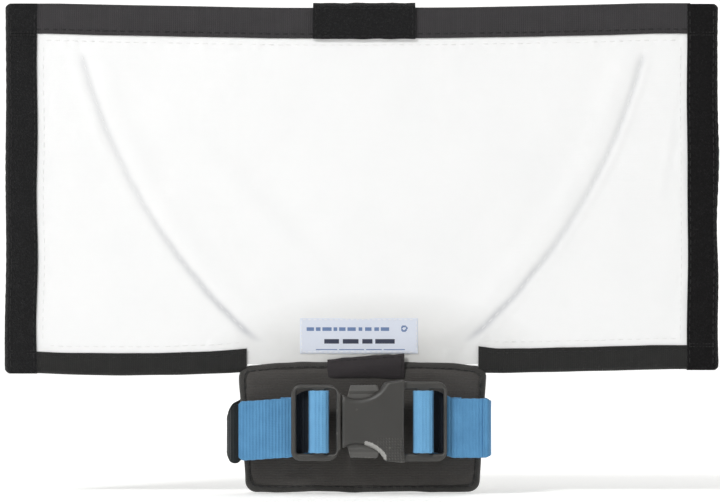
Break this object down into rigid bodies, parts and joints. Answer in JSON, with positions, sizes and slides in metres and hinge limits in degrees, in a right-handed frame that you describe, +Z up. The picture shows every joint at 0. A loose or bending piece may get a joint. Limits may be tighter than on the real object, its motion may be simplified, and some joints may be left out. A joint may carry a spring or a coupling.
{
  "type": "flash reflector",
  "caption": "Bendable white fabric bounce reflector on a narrow neck, with black bindings and a padded cuff that a blue webbing loop and side-release buckle hold to a flash head.",
  "frame": {"origin": "centre of the cuff's grip face, which lies against the flash head", "axes": "+X to the right along the panel's width, +Y to the reflector's back, +Z up the panel; the white face looks along -Y"},
  "size_m": [0.254, 0.0227, 0.1745],
  "materials": {
    "white_fabric": "matte",
    "liner": "matte",
    "foam": "matte",
    "black_fabric": "matte",
    "black_tape": "matte",
    "hook_and_loop": "matte",
    "wire": "satin",
    "grip": "matte",
    "black_webbing": "matte",
    "blue_webbing": "matte",
    "buckle": "satin",
    "label": "matte"
  },
  "bodies": {
    "cuff": {"grip_pad": "grip", "cuff_foam": "foam", "cuff_back": "black_fabric", "cuff_tape_ring": "black_tape", "cuff_flap": "black_tape", "web_back": "black_webbing", "turn_left": "black_webbing", "turn_right": "blue_webbing", "neck_web": "white_fabric"},
    "loop_front": {"web_left": "blue_webbing", "loop_left": "blue_webbing", "buckle_plug": "buckle"},
    "prong_upper": {"prong_top": "buckle"},
    "prong_lower": {"prong_bottom": "buckle"},
    "loop_release": {"buckle_socket": "buckle", "web_right": "blue_webbing", "loop_right": "blue_webbing"},
    "panel": {"centre_front": "white_fabric", "centre_liner": "liner", "centre_back": "black_fabric", "centre_top_tape": "black_tape", "top_patch": "hook_and_loop", "label": "label", "left_wire_root": "wire", "right_wire_root": "wire", "left_fold_strip": "white_fabric", "right_fold_strip": "white_fabric"},
    "left_inner": {"left_inner_front": "white_fabric", "left_inner_liner": "liner", "left_inner_back": "black_fabric", "left_inner_top_tape": "black_tape", "left_inner_bottom_tape": "black_tape", "left_inner_wire": "wire", "left_outer_fold_strip": "white_fabric"},
    "left_outer": {"left_outer_front": "white_fabric", "left_outer_liner": "liner", "left_outer_back": "black_fabric", "left_outer_top_tape": "black_tape", "left_outer_bottom_tape": "black_tape", "left_outer_wire": "wire", "left_side_strip": "hook_and_loop"},
    "right_inner": {"right_inner_front": "white_fabric", "right_inner_liner": "liner", "right_inner_back": "black_fabric", "right_inner_top_tape": "black_tape", "right_inner_bottom_tape": "black_tape", "right_inner_wire": "wire", "right_outer_fold_strip": "white_fabric"},
    "right_outer": {"right_outer_front": "white_fabric", "right_outer_liner": "liner", "right_outer_back": "black_fabric", "right_outer_top_tape": "black_tape", "right_outer_bottom_tape": "black_tape", "right_outer_wire": "wire", "right_side_strip": "hook_and_loop"}
  },
  "joints": [
    {"name": "neck_bend", "type": "hinge", "parent": "cuff", "child": "panel", "pos_m": [0, 0.0025, 0.0255], "axis": [1, 0, 0], "range_deg": [-60, 90], "deforming": ["neck_web", "cuff_flap"]},
    {"name": "right_fold", "type": "hinge", "parent": "panel", "child": "right_inner", "pos_m": [0.0455, 0.0025, 0.085], "axis": [0, 0, 1], "range_deg": [-88, 45], "deforming": ["right_fold_strip"]},
    {"name": "right_outer_fold", "type": "hinge", "parent": "right_inner", "child": "right_outer", "pos_m": [0.0815, 0.0025, 0.085], "axis": [0, 0, 1], "range_deg": [-88, 45], "deforming": ["right_outer_fold_strip"]},
    {"name": "left_fold", "type": "hinge", "parent": "panel", "child": "left_inner", "pos_m": [-0.0455, 0.0025, 0.085], "axis": [0, 0, -1], "range_deg": [-88, 45], "deforming": ["left_fold_strip"]},
    {"name": "left_outer_fold", "type": "hinge", "parent": "left_inner", "child": "left_outer", "pos_m": [-0.0815, 0.0025, 0.085], "axis": [0, 0, -1], "range_deg": [-88, 45], "deforming": ["left_outer_fold_strip"]},
    {"name": "loop_adjust", "type": "slide", "parent": "cuff", "child": "loop_front", "axis": [0, -1, 0], "range_m": [0, 0.04], "deforming": ["turn_left", "turn_right"]},
    {"name": "buckle_release", "type": "slide", "parent": "loop_front", "child": "loop_release", "axis": [1, 0, 0], "range_m": [0, 0.0135], "deforming": ["turn_right"]},
    {"name": "prong_upper_flex", "type": "hinge", "parent": "loop_front", "child": "prong_upper", "pos_m": [-0.0076, -0.0125, 0.01], "axis": [0, 1, 0], "range_deg": [0, 20]},
    {"name": "prong_lower_flex", "type": "hinge", "parent": "loop_front", "child": "prong_lower", "pos_m": [-0.0076, -0.0125, -0.0048], "axis": [0, -1, 0], "range_deg": [0, 20]}
  ],
  "couplings": [
    {"joint": "right_outer_fold", "follows": "right_fold", "ratio": 1},
    {"joint": "left_outer_fold", "follows": "left_fold", "ratio": 1},
    {"joint": "prong_upper_flex", "follows": "buckle_release", "rad_per_m": 24.435},
    {"joint": "prong_lower_flex", "follows": "buckle_release", "rad_per_m": 24.435}
  ]
}
